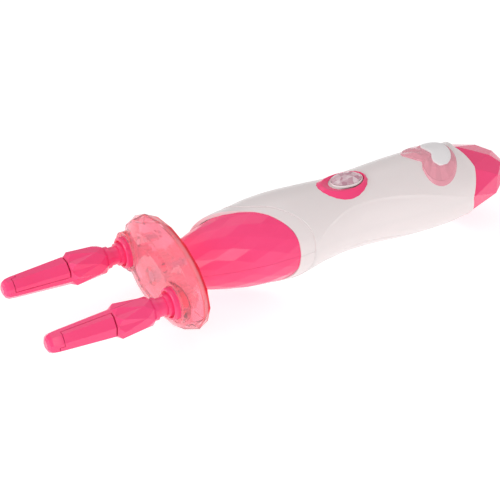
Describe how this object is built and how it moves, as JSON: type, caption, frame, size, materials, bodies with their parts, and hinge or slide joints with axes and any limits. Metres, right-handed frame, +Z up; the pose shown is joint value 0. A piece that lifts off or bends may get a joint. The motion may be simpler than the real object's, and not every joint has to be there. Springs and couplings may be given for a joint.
{
  "type": "automatic hair braider",
  "caption": "Battery hair braider: handle with faceted cone, top button and bow badge, an oval geared head, and two sprung clip spindles that spin as it turns.",
  "frame": {"origin": "centre of the flat rear end face, on the axis that the head turns about", "axes": "+X out of the rear end face along the handle, -X towards the spindle tips, +Z up through the button, +Y to the far spindle"},
  "size_m": [0.2728, 0.0774, 0.0492],
  "materials": {
    "pink_shell": "gloss",
    "white_shell": "gloss",
    "clear_pink": "gloss, see-through",
    "bow_pink": "gloss, see-through",
    "stone_clear": "polished",
    "label_white": "satin",
    "gear_white": "satin",
    "black_plastic": "matt",
    "steel": "satin",
    "brass": "satin",
    "board_green": "satin",
    "cell_case": "gloss"
  },
  "bodies": {
    "handle": {"nose_cone_top": "pink_shell", "nose_cone_bottom": "pink_shell", "handle_top": "white_shell", "handle_bottom": "white_shell", "rear_cap": "pink_shell", "button_bezel": "pink_shell", "bow_badge": "bow_pink", "label_plate": "label_white", "circuit_board": "board_green", "tact_switch": "black_plastic", "button_spring": "steel", "battery_tray": "black_plastic", "aa_cell_left": "cell_case", "aa_cell_right": "cell_case", "contact_plates": "steel", "contact_springs": "steel", "shell_screws": "steel", "motor": "steel", "gearbox_front_plate": "gear_white", "gearbox_rear_plate": "gear_white", "gear_axle": "steel", "sun_gear": "clear_pink", "shaft_bush": "brass"},
    "battery_door": {"battery_door": "white_shell", "door_screw": "steel"},
    "button": {"button_cap": "white_shell", "button_stone": "stone_clear"},
    "head": {"head_cover": "clear_pink", "head_back_plate": "clear_pink", "drive_shaft": "steel", "output_gear": "gear_white", "head_screws": "steel"},
    "idler_left": {"idler_gear_left": "clear_pink"},
    "idler_right": {"idler_gear_right": "clear_pink"},
    "spindle_left": {"spindle_left": "pink_shell", "planet_gear_left": "clear_pink", "clip_pin_left": "steel", "clip_spring_left": "steel"},
    "clip_left": {"clip_lever_left": "pink_shell"},
    "spindle_right": {"spindle_right": "pink_shell", "planet_gear_right": "clear_pink", "clip_pin_right": "steel", "clip_spring_right": "steel"},
    "clip_right": {"clip_lever_right": "pink_shell"},
    "gear_front": {"compound_gear_front": "gear_white"},
    "gear_rear": {"compound_gear_rear": "gear_white"},
    "rotor": {"motor_pinion": "brass", "motor_shaft": "steel"}
  },
  "joints": [
    {"name": "battery_door_slide", "type": "slide", "parent": "handle", "child": "battery_door", "axis": [0, 0, -1], "range_m": [0, 0.02]},
    {"name": "button_press", "type": "slide", "parent": "handle", "child": "button", "axis": [0, 0, -1], "range_m": [0, 0.001], "stiffness_N_per_m": 1200, "springref_m": -0.0005, "deforming": ["button_spring"]},
    {"name": "head_spin", "type": "hinge", "parent": "handle", "child": "head", "pos_m": [-0.2, 0, 0], "axis": [1, 0, 0], "continuous": true},
    {"name": "idler_left_spin", "type": "hinge", "parent": "head", "child": "idler_left", "pos_m": [-0.1992, -0.015, 0], "axis": [1, 0, 0], "continuous": true},
    {"name": "idler_right_spin", "type": "hinge", "parent": "head", "child": "idler_right", "pos_m": [-0.1992, 0.015, 0], "axis": [1, 0, 0], "continuous": true},
    {"name": "spindle_left_spin", "type": "hinge", "parent": "head", "child": "spindle_left", "pos_m": [-0.204, -0.025, 0], "axis": [1, 0, 0], "continuous": true},
    {"name": "clip_left_hinge", "type": "hinge", "parent": "spindle_left", "child": "clip_left", "pos_m": [-0.235, -0.02857, -0.0005], "axis": [0, -0.1392, 0.9903], "range_deg": [0, 12], "stiffness_Nm_per_rad": 0.06, "springref_deg": -20.05, "deforming": ["clip_spring_left"]},
    {"name": "spindle_right_spin", "type": "hinge", "parent": "head", "child": "spindle_right", "pos_m": [-0.204, 0.025, 0], "axis": [1, 0, 0], "continuous": true},
    {"name": "clip_right_hinge", "type": "hinge", "parent": "spindle_right", "child": "clip_right", "pos_m": [-0.235, 0.025, 0.0036], "axis": [0, 1, 0], "range_deg": [0, 12], "stiffness_Nm_per_rad": 0.06, "springref_deg": -20.05, "deforming": ["clip_spring_right"]},
    {"name": "gear_front_spin", "type": "hinge", "parent": "handle", "child": "gear_front", "pos_m": [-0.166, 0, 0.0085], "axis": [1, 0, 0], "continuous": true},
    {"name": "gear_rear_spin", "type": "hinge", "parent": "handle", "child": "gear_rear", "pos_m": [-0.162, 0, 0], "axis": [1, 0, 0], "continuous": true},
    {"name": "motor_spin", "type": "hinge", "parent": "handle", "child": "rotor", "pos_m": [-0.16, 0, -0.0085], "axis": [1, 0, 0], "continuous": true}
  ],
  "couplings": [
    {"joint": "idler_left_spin", "follows": "head_spin", "ratio": 2},
    {"joint": "idler_right_spin", "follows": "head_spin", "ratio": 2},
    {"joint": "spindle_left_spin", "follows": "head_spin", "ratio": -2},
    {"joint": "spindle_right_spin", "follows": "head_spin", "ratio": -2},
    {"joint": "gear_front_spin", "follows": "head_spin", "ratio": -3.25},
    {"joint": "gear_rear_spin", "follows": "head_spin", "ratio": 10.562},
    {"joint": "motor_spin", "follows": "head_spin", "ratio": -34.328}
  ]
}
